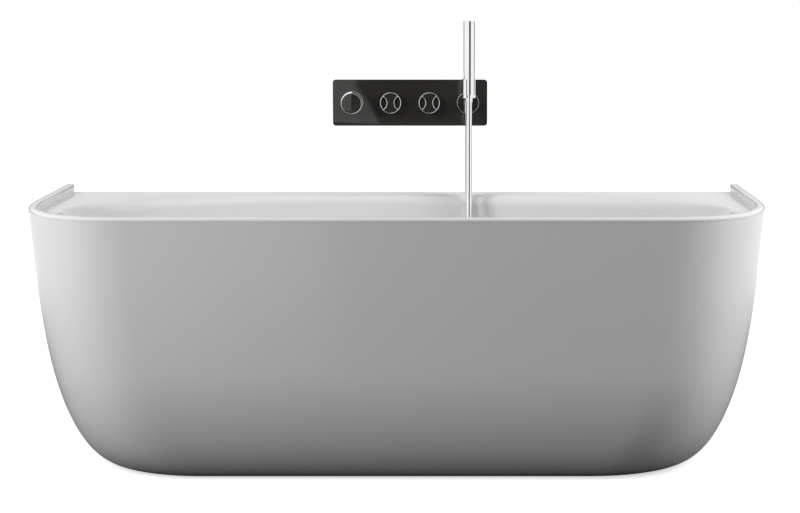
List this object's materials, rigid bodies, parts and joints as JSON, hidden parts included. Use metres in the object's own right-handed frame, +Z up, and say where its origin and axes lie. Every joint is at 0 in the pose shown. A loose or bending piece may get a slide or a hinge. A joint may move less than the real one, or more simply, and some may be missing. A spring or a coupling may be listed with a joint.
{
  "type": "bathtub",
  "caption": "Back-to-wall freestanding bathtub with a D-shaped shell, a black glass mixer panel on the wall, round knobs and a stick hand shower on a hose.",
  "frame": {"origin": "on the floor, on the finished wall's line, at the middle of the bathtub's length", "axes": "+X along the bathtub to the right as the room sees it, +Y into the wall, +Z up"},
  "size_m": [1.7, 0.818, 1.0107],
  "materials": {
    "white_acrylic": "polished",
    "composite_board": "raw",
    "zinc_steel": "zinc plated",
    "black_rubber": "matt",
    "chrome": "polished",
    "brass": "cast",
    "copper_pipe": "drawn",
    "white_plastic": "moulded",
    "grey_plastic": "moulded",
    "cartridge_plastic": "moulded",
    "aluminium": "milled",
    "black_glass": "polished",
    "black_trim": "polished",
    "silver_hose": "metallised"
  },
  "bodies": {
    "bath": {"basin_shell": "white_acrylic", "outer_panel": "white_acrylic", "base_board": "composite_board", "long_rails": "zinc_steel", "cross_rails": "zinc_steel", "foot_screws": "zinc_steel", "foot_nuts": "zinc_steel", "foot_pads": "black_rubber", "wall_brackets": "zinc_steel", "waste_flange": "chrome", "waste_strainer": "white_plastic", "waste_seal": "black_rubber", "waste_body": "white_plastic", "trap_body": "white_plastic", "outlet_pipe": "white_plastic", "outlet_coupler": "grey_plastic", "overflow_seals": "black_rubber", "overflow_flange": "chrome", "overflow_body": "grey_plastic", "overflow_pipe": "white_plastic", "control_cable": "black_rubber", "bath_fill_pipe": "copper_pipe", "fill_pipe_nuts": "brass", "wall_box": "grey_plastic", "valve_body": "brass", "temperature_cartridge": "cartridge_plastic", "bath_cartridge": "cartridge_plastic", "shower_cartridge": "cartridge_plastic", "backing_plate": "aluminium", "glass_panel": "black_glass", "knob_base_rings": "chrome", "rosette_ring": "chrome", "rosette_plate": "black_trim", "hose_outlet": "chrome", "handset_holder": "chrome", "outlet_nut": "chrome", "shower_hose": "silver_hose"},
    "temperature_knob": {"temperature_knob_body": "chrome", "temperature_knob_cap": "black_glass", "temperature_spindle": "brass"},
    "bath_knob": {"bath_knob_body": "chrome", "bath_knob_face": "black_glass", "bath_spindle": "brass"},
    "shower_knob": {"shower_knob_body": "chrome", "shower_knob_face": "black_glass", "shower_spindle": "brass"},
    "handset": {"handset_body": "chrome", "spray_plate": "black_trim", "spray_nozzles": "black_rubber", "handset_inlet": "brass", "handset_nut": "chrome"},
    "overflow_knob": {"overflow_knob": "chrome", "overflow_shaft": "brass"},
    "plug": {"waste_plug": "chrome", "plug_stem": "brass", "plug_seal": "black_rubber"}
  },
  "joints": [
    {"name": "temperature_turn", "type": "hinge", "parent": "bath", "child": "temperature_knob", "pos_m": [-0.1249, -0.03, 0.8055], "axis": [0, -1, 0], "range_deg": [-135, 45]},
    {"name": "bath_turn", "type": "hinge", "parent": "bath", "child": "bath_knob", "pos_m": [-0.0279, -0.02, 0.8055], "axis": [0, -1, 0], "range_deg": [0, 90]},
    {"name": "shower_turn", "type": "hinge", "parent": "bath", "child": "shower_knob", "pos_m": [0.0691, -0.02, 0.8055], "axis": [0, -1, 0], "range_deg": [0, 90]},
    {"name": "handset_lift", "type": "slide", "parent": "bath", "child": "handset", "axis": [0, 0, 1], "range_m": [0, 0.04], "deforming": ["shower_hose"]},
    {"name": "overflow_turn", "type": "hinge", "parent": "bath", "child": "overflow_knob", "pos_m": [0, -0.1, 0.46], "axis": [0, -1, 0], "range_deg": [0, 80]},
    {"name": "plug_lift", "type": "slide", "parent": "bath", "child": "plug", "axis": [0, 0, 1], "range_m": [0, 0.01]}
  ],
  "couplings": [
    {"joint": "plug_lift", "follows": "overflow_turn", "m_per_rad": 0.0071}
  ]
}
